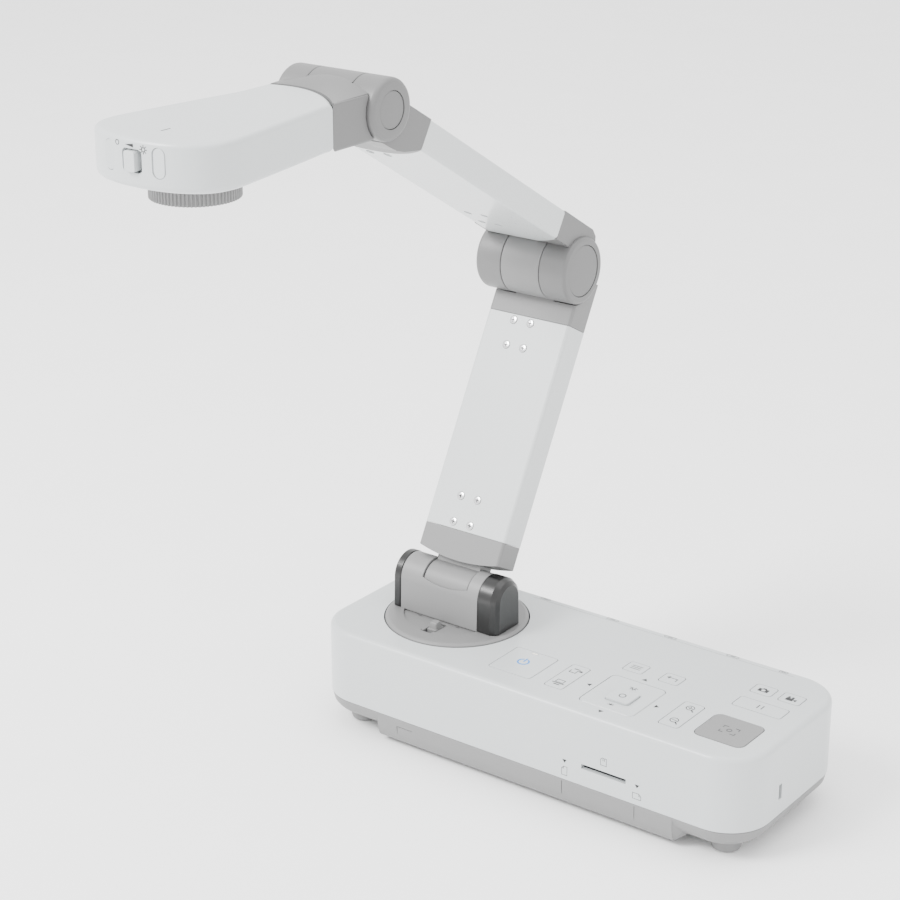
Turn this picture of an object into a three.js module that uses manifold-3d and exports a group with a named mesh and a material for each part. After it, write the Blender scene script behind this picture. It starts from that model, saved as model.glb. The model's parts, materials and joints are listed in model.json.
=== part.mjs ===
// Document camera: a flat base with a key panel, a turntable, a two-section folding arm and a camera head.
// Millimetres, +Z up, +X along the panel, the camera head reaching out towards -Y.
import * as THREE from 'three';
import { mergeVertices } from 'three/addons/utils/BufferGeometryUtils.js';
import Module from 'manifold-3d';

const wasm = await Module();
wasm.setup();

// ---- driving dimensions -------------------------------------------------------------------------
const BASE = { w: 264, d: 101.2, top: 57.3, parting: 17.1, corner: 23.5, wall: 2.5 };
const TRAY = { endBottom: 6.6, keelBottom: 2, keelFrom: -89, keelTo: 92, wall: 2.5 };
const FOOT = { x: 112, y: 31.5, r: 7.5 };
const GAP = 0.35;
const TURN = { x: -75.4, y: 1.9, hole: 39.1, r: 38.5, top: 58.8, underside: 53.7 };
const TOWER = { left: -28.3, right: 21.8, capLeft: -33, capRight: 34.2, r: 11.6, slot: 14.8 };
const TILT = { y: 1.5, z: 75.4, lean: -28.7, shaft: 4 };
const ARM_W = 52;
const LOWER = { front: -7.6, back: 9.9, from: 28.2, to: 147.2, wall: 1.8, capTop: 174 };
const ELBOW = { y: 74, z: 236.5, r: 18, half: 28.5, knuckle: 12, shaft: 5, lean: 59 };
const UPPER = { under: 7.6, over: 22.9, from: 30.2, to: 162.6, wall: 1.8 };
const WRIST = { y: -86.75, z: 350.5, r: 14.75, half: 29, knuckle: 13, shaft: 4 };
const HEAD = { top: 9, bottom: -12.5, wall: 2, floor: 2, dialY: -99.65, dialR: 20.2, dialZ: -23 };
const PORT = { back: 50.4, depth: 15, floor: 23.9 };
const BOARD_TOP = 23.6;
const KEY = { bottom: 51.2, top: 57.5, stemBottom: 46.4, boardTop: 45.2 };

// ---- plain colours ------------------------------------------------------------------------------
const WHITE = [0xe2e7e7, 0.38, 0];
const GREY = [0xb4b4b4, 0.5, 0];
const DARK_GREY = [0x9d9d9d, 0.5, 0];
const BLACK = [0x242424, 0.32, 0];
const RUBBER = [0x4a4a4a, 0.85, 0];
const STEEL = [0x9aa0a6, 0.35, 1];
const GREEN = [0x2f6b45, 0.6, 0];
const GLASS = [0x101418, 0.08, 0];
const LAMP = [0xfff6dc, 0.3, 0];

// ---- geometry helpers ---------------------------------------------------------------------------
const V = (x, y) => new THREE.Vector2(x, y);
const rad = THREE.MathUtils.degToRad;

// Rounded rectangle centred on (0, 0), counter-clockwise, with `steps` edges in each corner.
function roundedRect(w, d, r, steps = 6) {
  const points = [];
  const centres = [[1, -1, -90], [1, 1, 0], [-1, 1, 90], [-1, -1, 180]];
  for (const [sx, sy, from] of centres) {
    for (let i = 0; i <= steps; i++) {
      const a = rad(from + (90 * i) / steps);
      points.push(V(sx * (w / 2 - r) + r * Math.cos(a), sy * (d / 2 - r) + r * Math.sin(a)));
    }
  }
  return points;
}

// Moves each corner of a counter-clockwise outline inwards by d.
function inset(outline, d) {
  const n = outline.length;
  return outline.map((p, i) => {
    const a = p.clone().sub(outline[(i + n - 1) % n]).normalize();
    const b = outline[(i + 1) % n].clone().sub(p).normalize();
    const normal = V(-a.y - b.y, a.x + b.x).normalize();
    return p.clone().addScaledVector(normal, d / Math.max(0.5, normal.dot(V(-a.y, a.x))));
  });
}

// Closed solid through a stack of outlines: layers are [z, outline], from the bottom up.
function loft(layers) {
  const n = layers[0][1].length;
  const positions = layers.flatMap(([z, outline]) => outline.flatMap((p) => [p.x, p.y, z]));
  const index = [];
  for (let k = 0; k + 1 < layers.length; k++) {
    for (let i = 0; i < n; i++) {
      const j = (i + 1) % n;
      const [a, b, c, d] = [k * n + i, k * n + j, (k + 1) * n + j, (k + 1) * n + i];
      index.push(a, b, c, a, c, d);
    }
  }
  const last = (layers.length - 1) * n;
  for (const [a, b, c] of THREE.ShapeUtils.triangulateShape(layers[0][1], [])) index.push(c, b, a);
  for (const [a, b, c] of THREE.ShapeUtils.triangulateShape(layers.at(-1)[1], [])) {
    index.push(last + a, last + b, last + c);
  }
  const geometry = new THREE.BufferGeometry();
  geometry.setAttribute('position', new THREE.Float32BufferAttribute(positions, 3));
  geometry.setIndex(index);
  return geometry;
}

const prism = (outline, z0, z1) => loft([[z0, outline], [z1, outline]]);

function box(x0, x1, y0, y1, z0, z1) {
  const geometry = new THREE.BoxGeometry(x1 - x0, y1 - y0, z1 - z0);
  return geometry.translate((x0 + x1) / 2, (y0 + y1) / 2, (z0 + z1) / 2);
}

function post(r, x, y, z0, z1, sides = 24) {
  const geometry = new THREE.CylinderGeometry(r, r, z1 - z0, sides).rotateX(Math.PI / 2);
  return geometry.translate(x, y, (z0 + z1) / 2);
}

function barrel(r, x0, x1, y, z, sides = 32) {
  const geometry = new THREE.CylinderGeometry(r, r, x1 - x0, sides).rotateZ(Math.PI / 2);
  return geometry.translate((x0 + x1) / 2, y, z);
}

// Barrel with a bevelled outer end: `side` is -1 or 1 and says which end is the outer one.
function knuckle(r, inner, outer, side, y, z, bevel = 1.6) {
  const rings = [[r, inner], [r, outer - bevel], [r - bevel, outer]];
  const profile = [V(0, inner), ...rings.map(([radius, at]) => V(radius, at)), V(0, outer)];
  const geometry = new THREE.LatheGeometry(profile, 32).rotateZ(-Math.PI / 2);
  if (side < 0) geometry.rotateY(Math.PI);
  return geometry.translate(0, y, z);
}

// Ring or disc turned about a vertical axis; the profile holds [radius, z] pairs and closes on itself.
function turned(profile, x, y, sides = 48) {
  const points = profile.map(([r, z]) => V(r, z));
  points.push(points[0].clone());
  return new THREE.LatheGeometry(points, sides).rotateX(Math.PI / 2).translate(x, y, 0);
}

// Outline in the YZ plane, extruded from x0 to x1.
function sideways(outline, x0, x1) {
  const shape = new THREE.Shape(outline.map(([y, z]) => V(y, z)));
  const geometry = new THREE.ExtrudeGeometry(shape, { depth: x1 - x0, bevelEnabled: false });
  geometry.applyMatrix4(new THREE.Matrix4().set(0, 0, 1, x0, 1, 0, 0, 0, 0, 1, 0, 0, 0, 0, 0, 1));
  return geometry;
}

// ---- joining and cutting ------------------------------------------------------------------------
function solid(geometry) {
  const bare = geometry.clone();
  bare.deleteAttribute('normal');
  bare.deleteAttribute('uv');
  const merged = mergeVertices(bare, 1e-4);
  const mesh = new wasm.Mesh({
    numProp: 3,
    vertProperties: Float32Array.from(merged.attributes.position.array),
    triVerts: Uint32Array.from(merged.index.array),
  });
  return new wasm.Manifold(mesh);
}

function combine(geometry, tools, step) {
  const { vertProperties, triVerts } = tools
    .reduce((body, tool) => step(body, solid(tool)), solid(geometry))
    .getMesh();
  const out = new THREE.BufferGeometry();
  out.setAttribute('position', new THREE.BufferAttribute(Float32Array.from(vertProperties), 3));
  out.setIndex(Array.from(triVerts));
  return out;
}

const cut = (geometry, ...tools) => combine(geometry, tools, (a, b) => a.subtract(b));
const join = (geometry, ...tools) => combine(geometry, tools, (a, b) => a.add(b));

function mesh(group, name, geometry, [color, roughness, metalness]) {
  const material = new THREE.MeshStandardMaterial({ color, roughness, metalness, flatShading: true });
  const piece = new THREE.Mesh(geometry, material);
  piece.name = name;
  group.add(piece);
}

// ---- key panel ----------------------------------------------------------------------------------
// name: [left, right, front, back, corner radius]
const KEYS = {
  key_power: [-27.5, -2.1, -36.2, -9.5, 1.5],
  key_source: [6.8, 17.3, -36.2, -8.9, 1.5],
  key_menu: [29, 40.2, 1.6, 11.6, 1.5],
  key_escape: [50.3, 61.3, 1.6, 11.6, 1.5],
  key_direction: [29.4, 61, -39.8, -6.2, 3],
  key_zoom: [73.7, 84.8, -36.5, -9.5, 1.5],
  key_focus: [92.4, 119.6, -35.8, -10.6, 4],
  key_freeze: [92.9, 119.8, 1.3, 11.9, 1.5],
  key_capture: [93, 104.6, 18.9, 28.4, 1.5],
  key_record: [108.7, 120.4, 18.9, 28.4, 1.5],
};
const ENTER = [38.8, 52.2, -29.8, -17.1, 1.5];

function keyOutline([x0, x1, y0, y1, r], grow = 0) {
  const outline = roundedRect(x1 - x0 + 2 * grow, y1 - y0 + 2 * grow, r + Math.max(grow, 0), 3);
  return outline.map((p) => V(p.x + (x0 + x1) / 2, p.y + (y0 + y1) / 2));
}

function keyCap(size, stem = true) {
  const cap = prism(keyOutline(size), KEY.bottom, KEY.top);
  if (!stem) return cap;
  const [x0, x1, y0, y1] = size;
  return join(cap, post(2, (x0 + x1) / 2, (y0 + y1) / 2, KEY.stemBottom, KEY.bottom + 1, 12));
}

function addKeys(group) {
  for (const [name, size] of Object.entries(KEYS)) {
    const colour = name === 'key_focus' ? GREY : WHITE;
    if (name === 'key_direction') {
      const frame = cut(keyCap(size, false), prism(keyOutline(ENTER, GAP), KEY.bottom - 1, KEY.top + 1));
      mesh(group, name, frame, colour);
    } else if (name === 'key_power') {
      const lampSlot = box(-17.6, -13.6, -12.1, -10.6, KEY.bottom - 1, KEY.top + 1);
      mesh(group, name, cut(keyCap(size), lampSlot), colour);
    } else mesh(group, name, keyCap(size), colour);
  }
  mesh(group, 'key_enter', keyCap(ENTER), WHITE);
}

// ---- sockets along the back ---------------------------------------------------------------------
// name: [centre x, width, height, mouth width, mouth height, tongue width, tongue height]
const PORTS = {
  port_usb: [-49, 12, 11, 8.4, 7.8, 5.6, 3.2],
  port_hdmi: [-5.7, 15.4, 6.6, 13.8, 4.6, 11.6, 1.8],
  port_video_out: [30, 31, 12.5, 17.6, 9, 15.8, 7.2],
  port_video_in: [67.5, 31, 12.5, 17.6, 9, 15.8, 7.2],
  port_power: [97, 9.4, 11.4, 6.6, 6.6, 2.2, 2.2],
};

function port([x, w, h, mouthW, mouthH, tongueW, tongueH]) {
  const z = PORT.floor + h / 2;
  const front = PORT.back - PORT.depth;
  const body = box(x - w / 2, x + w / 2, front, PORT.back, PORT.floor, PORT.floor + h);
  const mouth = box(x - mouthW / 2, x + mouthW / 2, PORT.back - 9, PORT.back + 1, z - mouthH / 2, z + mouthH / 2);
  const tongue = box(x - tongueW / 2, x + tongueW / 2, PORT.back - 10, PORT.back - 1.5,
    z - tongueH / 2, z + tongueH / 2);
  return join(cut(body, mouth), tongue);
}

function portHoles() {
  return Object.values(PORTS).map(([x, w, h]) => box(x - w / 2 - GAP, x + w / 2 + GAP, PORT.back - 6,
    PORT.back + 2, PORT.floor - GAP, PORT.floor + h + GAP));
}

// ---- base ---------------------------------------------------------------------------------------
const CARD = { x: 52.5, w: 26, z: 28, h: 2.6 };
const LOCK = { y: -17, w: 3, z0: 26, z1: 34 };
const outline = roundedRect(BASE.w, BASE.d, BASE.corner);

function addBase(group) {
  const roof = BASE.top - BASE.wall;
  const shell = loft([
    [BASE.parting, outline],
    [BASE.top - 3, outline],
    [BASE.top - 0.9, inset(outline, 0.9)],
    [BASE.top, inset(outline, 3)],
  ]);
  const cover = cut(
    shell,
    prism(inset(outline, BASE.wall), BASE.parting - 1, roof),
    post(TURN.hole, TURN.x, TURN.y, roof - 1, BASE.top + 1, 48),
    ...Object.values(KEYS).map((size) => prism(keyOutline(size, GAP), roof - 1, BASE.top + 1)),
    ...portHoles(),
    box(CARD.x - CARD.w / 2, CARD.x + CARD.w / 2, -BASE.d / 2 - 1, -BASE.d / 2 + 5,
      CARD.z - CARD.h / 2, CARD.z + CARD.h / 2),
    box(BASE.w / 2 - 5, BASE.w / 2 + 1, LOCK.y - LOCK.w / 2, LOCK.y + LOCK.w / 2, LOCK.z0, LOCK.z1),
  );
  mesh(group, 'base_cover', cover, WHITE);

  const half = BASE.d / 2;
  const keel = [[-half, BASE.parting], [-half + 0.6, 11], [-half + 2.4, 5], [-half + 5, TRAY.keelBottom]];
  const keelOutline = [...keel, ...keel.map(([y, z]) => [-y, z]).reverse()];
  const keelInner = keelOutline.map(([y, z]) => [y * 0.94, z + TRAY.wall]);
  const tray = cut(
    join(
      loft([
        [TRAY.endBottom, inset(outline, 8.5)],
        [8.8, inset(outline, 4.5)],
        [12.2, inset(outline, 1.4)],
        [BASE.parting - 0.1, outline],
      ]),
      sideways(keelOutline.map(([y, z]) => [y, Math.min(z, BASE.parting - 0.1)]), TRAY.keelFrom, TRAY.keelTo),
    ),
    loft([[TRAY.endBottom + TRAY.wall, inset(outline, 9.5)], [14, inset(outline, 4)],
      [BASE.parting + 1, inset(outline, 3)]]),
    sideways(keelInner, TRAY.keelFrom + TRAY.wall, TRAY.keelTo - TRAY.wall),
  );
  mesh(group, 'base_tray', tray, GREY);
  mesh(group, 'ballast_plate', box(-80, 80, -38, 38, 4.9, 13.9), STEEL);
  mesh(group, 'main_board', box(-58, 118, -41, 44, BOARD_TOP - 1.6, BOARD_TOP), GREEN);
  mesh(group, 'key_board', box(-30, 123, -42, 32, KEY.boardTop - 1.6, KEY.boardTop), GREEN);
  mesh(group, 'status_lamp', box(-17.3, -13.9, -11.8, -10.9, KEY.boardTop + 0.3, KEY.top), LAMP);
  for (const [sy, row] of [[-1, 'front'], [1, 'rear']]) {
    for (const [sx, side] of [[-1, 'left'], [1, 'right']]) {
      const foot = post(FOOT.r, sx * FOOT.x, sy * FOOT.y, 0, TRAY.endBottom - 0.1);
      mesh(group, `foot_${row}_${side}`, foot, RUBBER);
    }
  }
  const ring = [[15, 48], [44, 48], [44, 54.6], [40.5, 54.6], [40.5, 53.3], [15, 53.3]];
  mesh(group, 'turntable_bearing', turned(ring, TURN.x, TURN.y), DARK_GREY);
  for (const [name, size] of Object.entries(PORTS)) {
    mesh(group, name, port(size), name.includes('video') ? STEEL : BLACK);
  }
  const reader = cut(
    box(CARD.x - 15, CARD.x + 15, -47.6, -20, PORT.floor, PORT.floor + 7),
    box(CARD.x - 12.4, CARD.x + 12.4, -48, -23, CARD.z - 1.2, CARD.z + 1.2),
  );
  mesh(group, 'card_reader', reader, STEEL);
  addKeys(group);
}

// ---- turntable and hinge tower ------------------------------------------------------------------
// Outline of the tower, seen from the side: upright faces below, a round arch over the tilt shaft.
function towerOutline(grow = 0) {
  const points = [[TOWER.r + grow, TURN.top + 0.1], [TOWER.r + grow, 0]];
  const arch = Array.from({ length: 13 }, (_, i) => {
    const a = rad(15 * i);
    return [(TOWER.r + grow) * Math.cos(a), TILT.z + (TOWER.r + grow) * Math.sin(a)];
  });
  return [points[0], ...arch, [-TOWER.r - grow, TURN.top + 0.1]].map(([y, z]) => [y + TILT.y, z]);
}

function addTurntable(group) {
  const { r, top, underside } = TURN;
  const disc = [[0, underside], [r, underside], [r, 57.4], [r - 1.2, top], [0, top]];
  const recess = cut(
    turned([[0, top - 0.9], [25, top - 0.9], [26.4, top + 1], [0, top + 1]], 0, TURN.y, 40),
    box(-40, 40, TILT.y - TOWER.r + 0.2, 60, 0, 90),
  );
  mesh(group, 'turntable_disc', cut(
    turned(disc, 0, TURN.y),
    recess,
    box(-3.1, 3.7, -26.4, -12.4, top - 3.4, top + 1),
  ), GREY);
  const spindle = [[6, 42], [14.6, 42], [14.6, 44], [20, 44], [20, 47.6], [14.6, 47.6], [14.6, 53.6], [6, 53.6]];
  mesh(group, 'turntable_spindle', turned(spindle, 0, TURN.y, 32), STEEL);

  const slot = TOWER.slot;
  const window = [[-40, 77.9], [TILT.y, 61.9], [30, 61.9], [30, 110], [-40, 110]];
  const tower = cut(
    sideways(towerOutline(), TOWER.left, TOWER.right),
    sideways(window, -slot, slot),
    barrel(TILT.shaft + 0.3, -40, 40, TILT.y, TILT.z),
  );
  mesh(group, 'tower_body', tower, GREY);
  const corners = { left: [TOWER.capLeft, TOWER.left - 0.1], right: [TOWER.right + 0.1, TOWER.capRight] };
  for (const [side, [x0, x1]] of Object.entries(corners)) {
    const out = side === 'left' ? x0 : x1;
    const sign = Math.sign(out);
    const chamfer = prism([V(out - sign * 1.4, -14), V(out + sign * 5, -14), V(out + sign * 5, -5)], 50, 100);
    const cap = cut(
      sideways(towerOutline(0.3), x0, x1),
      sign > 0 ? chamfer : prism([V(out + 1.4, -14), V(out - 5, -5), V(out - 5, -14)], 50, 100),
      barrel(TILT.shaft + 0.3, side === 'left' ? x0 + 2 : x0 - 1, side === 'left' ? x1 + 1 : x1 - 3, TILT.y, TILT.z),
    );
    mesh(group, `tower_cap_${side}`, cap, BLACK);
  }
  mesh(group, 'tilt_shaft', barrel(TILT.shaft, -30.6, 30.8, TILT.y, TILT.z, 24), STEEL);
  mesh(group, 'swivel_lock', join(
    box(-2.6, 3.2, -21.5, -14, top - 3, top - 0.9),
    box(-2.2, 2.8, -20.5, -15, top - 1, top + 2.6),
  ), GREY);
}

// ---- arm sections -------------------------------------------------------------------------------
// Section of an arm: ARM_W wide in X, from y0 to y1, with small rounded corners.
function section(y0, y1, shrink = 0) {
  const body = roundedRect(ARM_W - 2 * shrink, y1 - y0 - 2 * shrink, 1.6, 2);
  return body.map((p) => V(p.x, p.y + (y0 + y1) / 2));
}

function tube(y0, y1, wall, z0, z1) {
  return cut(prism(section(y0, y1), z0, z1), prism(section(y0, y1, wall), z0 - 1, z1 + 1));
}

// Channel of folded sheet steel inside an arm, open towards -Y.
function spine(y0, y1, z0, z1) {
  return cut(box(-18, 18, y0, y1, z0, z1), box(-16.4, 16.4, y0 - 1, y1 - 1.6, z0 - 1, z1 + 1));
}

function addLowerArm(group) {
  const { front, back, from, to, wall, capTop } = LOWER;
  const plug = wall + 0.3;
  mesh(group, 'lower_arm_shell', tube(front, back, wall, from, to), WHITE);
  mesh(group, 'lower_arm_spine', spine(front + 4, back - 4, from + 8, to - 8), STEEL);
  const clear = TOWER.r + 0.75;
  const foot = join(
    cut(
      prism(section(front, back), 7, from - 0.15),
      box(-40, -TOWER.slot + 0.6, front - 1, back + 1, 0, clear),
      box(TOWER.slot - 0.6, 40, front - 1, back + 1, 0, clear),
    ),
    prism(section(front, back, plug), from - 2, from + 6),
    barrel(TOWER.r - 0.6, -TOWER.slot + 0.6, TOWER.slot - 0.6, 0, 0),
  );
  mesh(group, 'lower_arm_foot', cut(foot, barrel(TILT.shaft + 0.3, -20, 20, 0, 0)), GREY);

  const axis = elbowInLower();
  const { knuckle: k, r } = ELBOW;
  const head = join(
    cut(
      prism(section(front, back), to + 0.15, capTop),
      barrel(r + 1.2, -40, -k, axis.y, axis.z),
      barrel(r + 1.2, k, 40, axis.y, axis.z),
    ),
    prism(section(front, back, plug), to - 6, to + 2),
    barrel(r, -k, k, axis.y, axis.z),
  );
  mesh(group, 'lower_arm_head', cut(head, barrel(ELBOW.shaft + 0.3, -20, 20, axis.y, axis.z)), GREY);
}

// The elbow axis in the lower arm's own leaning frame.
function elbowInLower() {
  const a = rad(TILT.lean);
  const dy = ELBOW.y - TILT.y;
  const dz = ELBOW.z - TILT.z;
  return { y: dy * Math.cos(a) + dz * Math.sin(a), z: -dy * Math.sin(a) + dz * Math.cos(a) };
}

// The wrist axis in the upper arm's own leaning frame.
function wristInUpper() {
  const a = rad(ELBOW.lean);
  const dy = WRIST.y - ELBOW.y;
  const dz = WRIST.z - ELBOW.z;
  return { y: dy * Math.cos(a) + dz * Math.sin(a), z: -dy * Math.sin(a) + dz * Math.cos(a) };
}

function addUpperArm(group) {
  const { under, over, from, to, wall } = UPPER;
  const plug = wall + 0.3;
  mesh(group, 'upper_arm_shell', tube(under, over, wall, from, to), WHITE);
  mesh(group, 'upper_arm_spine', spine(under + 3.5, over - 3.5, from + 8, to - 8), STEEL);

  const elbow = cut(
    join(
      prism(section(under, over), -3, from - 0.15),
      knuckle(ELBOW.r, ELBOW.knuckle + GAP, ELBOW.half, 1, 0, 0),
      knuckle(ELBOW.r, ELBOW.knuckle + GAP, ELBOW.half, -1, 0, 0),
      prism(section(under, over, plug), from - 2, from + 6),
    ),
    barrel(ELBOW.r + 0.6, -ELBOW.knuckle - GAP, ELBOW.knuckle + GAP, 0, 0),
    barrel(ELBOW.shaft + 0.3, -40, 40, 0, 0),
    barrel(14, ELBOW.half - 1.2, 40, 0, 0),
    barrel(14, -40, -ELBOW.half + 1.2, 0, 0),
  );
  mesh(group, 'elbow_fork', elbow, DARK_GREY);
  mesh(group, 'elbow_shaft', barrel(ELBOW.shaft, -27, 27, 0, 0, 24), STEEL);
  mesh(group, 'elbow_disc_left', barrel(13.7, -ELBOW.half, -27.5, 0, 0), DARK_GREY);
  mesh(group, 'elbow_disc_right', barrel(13.7, 27.5, ELBOW.half, 0, 0), DARK_GREY);

  const axis = wristInUpper();
  const flank = [[under, to + 0.15], [over, to + 0.15], [over, 183], [axis.y, axis.z], [1.2, 188], [0.6, 180]];
  const cheeks = [-1, 1].map((side) => {
    const x = [side * (WRIST.knuckle + GAP), side * (ARM_W / 2)].sort((a, b) => a - b);
    return sideways(flank, ...x);
  });
  const fork = cut(
    join(
      prism(section(under, over), to + 0.15, to + 20),
      ...cheeks,
      knuckle(WRIST.r, WRIST.knuckle + GAP, WRIST.half, 1, axis.y, axis.z),
      knuckle(WRIST.r, WRIST.knuckle + GAP, WRIST.half, -1, axis.y, axis.z),
      prism(section(under, over, plug), to - 6, to + 2),
    ),
    barrel(WRIST.r + 0.6, -WRIST.knuckle - GAP, WRIST.knuckle + GAP, axis.y, axis.z),
    barrel(WRIST.shaft + 0.3, -40, 40, axis.y, axis.z),
    barrel(9, WRIST.half - 1.2, 40, axis.y, axis.z),
    barrel(9, -40, -WRIST.half + 1.2, axis.y, axis.z),
  );
  mesh(group, 'wrist_fork', fork, DARK_GREY);
  mesh(group, 'wrist_shaft', barrel(WRIST.shaft, -27.5, 27.5, axis.y, axis.z, 24), STEEL);
  mesh(group, 'wrist_disc_left', barrel(8.7, -WRIST.half, -28, axis.y, axis.z, 24), DARK_GREY);
  mesh(group, 'wrist_disc_right', barrel(8.7, 28, WRIST.half, axis.y, axis.z, 24), DARK_GREY);
}

// ---- camera head --------------------------------------------------------------------------------
// Right half of the head seen from above, from the neck to the nose, as [x, y] from the wrist axis.
const FLANK = [[26.4, -41], [28.3, -54], [31.3, -73], [34.3, -93], [36.2, -106], [36.4, -113],
  [34.4, -121.5], [29.2, -128.3], [20.5, -133.4], [10, -136], [0, -136.7]];

// Edge between the collar and the white cover, across the neck.
const neckY = (x) => -18.25 - 20 * ((x + 12) / 38) ** 2;

function neckEdge(shift) {
  return [-26, -14, -2, 8, 18, 26].map((x) => V(x, neckY(x) + shift));
}

function headOutline() {
  const right = FLANK.map(([x, y]) => V(x, y));
  const left = FLANK.slice(0, -1).map(([x, y]) => V(-x, y));
  return [...left, ...right.reverse(), ...neckEdge(-0.15).reverse()];
}

const SENSOR_X = [-13.8, 13.8];
const SLIDER = { x: 0, w: 11, z: -0.5, h: 10 };

// Depth of the nose at x, found from the flank outline.
function noseY(x) {
  const i = FLANK.findIndex(([fx, fy]) => fy < -120 && fx <= Math.abs(x));
  const [[x0, y0], [x1, y1]] = [FLANK[i - 1], FLANK[i]];
  return y0 + ((y1 - y0) * (Math.abs(x) - x0)) / (x1 - x0);
}

function addHead(group) {
  const { top, bottom, wall, floor, dialY, dialR, dialZ } = HEAD;
  const plan = headOutline();
  const cover = cut(
    loft([[bottom, inset(plan, 2)], [bottom + 2, inset(plan, 0.4)], [bottom + 4, plan],
      [top - 2.4, plan], [top - 0.7, inset(plan, 0.7)], [top, inset(plan, 2.4)]]),
    prism(inset(plan, wall + 1), bottom - 1, top - wall),
    box(SLIDER.x - SLIDER.w / 2, SLIDER.x + SLIDER.w / 2, -140, -128, SLIDER.z - SLIDER.h / 2,
      SLIDER.z + SLIDER.h / 2),
    ...SENSOR_X.map((x) => box(x - 3.2, x + 3.2, -140, -122, -6.2, 6.2)),
  );
  mesh(group, 'head_cover', cover, WHITE);
  const floorPlan = inset(plan, wall + 1.3);
  mesh(group, 'head_floor', cut(prism(floorPlan, bottom + 0.4, bottom + 0.4 + floor),
    post(16, 0, dialY, bottom - 1, bottom + 5, 32)), WHITE);

  const collarPlan = [V(26, -10), V(-26, -10), ...neckEdge(0.15)];
  const collar = join(
    cut(
      prism(collarPlan, bottom, top),
      barrel(WRIST.r + 0.65, -40, -WRIST.knuckle, 0, 0),
      barrel(WRIST.r + 0.65, WRIST.knuckle, 40, 0, 0),
      box(-23, 23, -34, -19, bottom - 1, top - 2.5),
    ),
    barrel(WRIST.r, -WRIST.knuckle, WRIST.knuckle, 0, 0),
  );
  mesh(group, 'head_collar', cut(collar, barrel(WRIST.shaft + 0.3, -20, 20, 0, 0)), DARK_GREY);

  mesh(group, 'rotation_ring', turned([[13, dialZ], [dialR - 0.8, dialZ], [dialR, dialZ + 0.8],
    [dialR, bottom - 0.3], [15.4, bottom - 0.3], [15.4, bottom + 3.4], [13, bottom + 3.4]], 0, dialY), GREY);
  mesh(group, 'lens_barrel', turned([[7, dialZ + 1.2], [12.4, dialZ + 1.2], [12.4, 2], [7, 2]], 0, dialY, 32), BLACK);
  mesh(group, 'lens_glass', turned([[0, dialZ + 2.4], [4.5, dialZ + 2.8], [6.8, dialZ + 4], [6.8, dialZ + 6],
    [0, dialZ + 6]], 0, dialY, 32), GLASS);
  mesh(group, 'sensor_board', box(-24, 24, dialY - 20, dialY + 24, 2.3, 3.9), GREEN);
  mesh(group, 'lamp', cut(box(-7, 7, -77, -69, bottom - 0.3 + 3, 0), box(-8, 8, -80, -77.5, -20, 5)), LAMP);
  const wallY = noseY(SLIDER.x);
  mesh(group, 'light_slider', join(
    box(SLIDER.x - 3, SLIDER.x + 3, wallY - 1.8, wallY + 1, SLIDER.z - 4.4, SLIDER.z + 4.4),
    box(SLIDER.x - 8, SLIDER.x + 8, wallY + 4.6, wallY + 6, SLIDER.z - 6.5, SLIDER.z + 6.5),
    box(SLIDER.x - 2.4, SLIDER.x + 2.4, wallY, wallY + 5, SLIDER.z - 4, SLIDER.z + 4),
  ), WHITE);
  for (const [i, side] of ['left', 'right'].entries()) {
    const x = SENSOR_X[i];
    const y = noseY(x);
    mesh(group, `sensor_window_${side}`, box(x - 2.9, x + 2.9, y + 0.6, y + 2.6, -5.9, 5.9), WHITE);
  }
}

// ---- assembly -----------------------------------------------------------------------------------
function frame(parent, x, y, z, lean = 0) {
  const group = new THREE.Group();
  group.position.set(x, y, z);
  group.rotation.x = rad(lean);
  parent.add(group);
  return group;
}

const camera = new THREE.Group();
const body = frame(camera, 0, 0, 0);
addBase(body);
addTurntable(frame(body, TURN.x, 0, 0));
addLowerArm(frame(body, TURN.x, TILT.y, TILT.z, TILT.lean));
addUpperArm(frame(body, TURN.x, ELBOW.y, ELBOW.z, ELBOW.lean));
addHead(frame(body, TURN.x, WRIST.y, WRIST.z));

// The origin is under the middle of the whole camera, on the desk.
camera.updateMatrixWorld(true);
const extent = new THREE.Box3().setFromObject(camera, true);
const middle = extent.getCenter(new THREE.Vector3());
body.position.set(-middle.x, -middle.y, -extent.min.z);
camera.updateMatrixWorld(true);

export default camera;
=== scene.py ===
import json
import math

import bmesh
import bpy
from mathutils import Matrix, Vector


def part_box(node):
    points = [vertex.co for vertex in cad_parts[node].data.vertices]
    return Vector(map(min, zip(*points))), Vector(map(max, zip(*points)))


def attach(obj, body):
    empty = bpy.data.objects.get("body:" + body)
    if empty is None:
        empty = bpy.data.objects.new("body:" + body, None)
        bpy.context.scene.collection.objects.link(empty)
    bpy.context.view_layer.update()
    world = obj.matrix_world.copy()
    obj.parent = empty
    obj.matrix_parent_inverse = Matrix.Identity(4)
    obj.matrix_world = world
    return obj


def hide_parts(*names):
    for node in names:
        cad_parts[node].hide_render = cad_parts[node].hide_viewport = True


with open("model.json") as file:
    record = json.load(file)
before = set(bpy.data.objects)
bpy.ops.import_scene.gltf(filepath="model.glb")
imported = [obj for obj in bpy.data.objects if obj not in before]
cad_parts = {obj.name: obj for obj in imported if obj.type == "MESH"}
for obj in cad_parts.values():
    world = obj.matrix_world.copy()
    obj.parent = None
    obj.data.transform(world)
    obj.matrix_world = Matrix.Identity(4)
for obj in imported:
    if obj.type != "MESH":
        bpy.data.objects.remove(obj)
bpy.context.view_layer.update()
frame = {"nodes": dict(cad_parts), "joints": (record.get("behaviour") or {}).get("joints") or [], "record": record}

# ---- driving dimensions, in millimetres ---------------------------------------------------------
CORNER = 23.5
PARTING = 17.1
FILLET = 3.0
GAP = 0.35
WALL = 2.5
TABLE_HOLE = 39.1
STEP_LEFT, STEP_RIGHT = -89, 92
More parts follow.
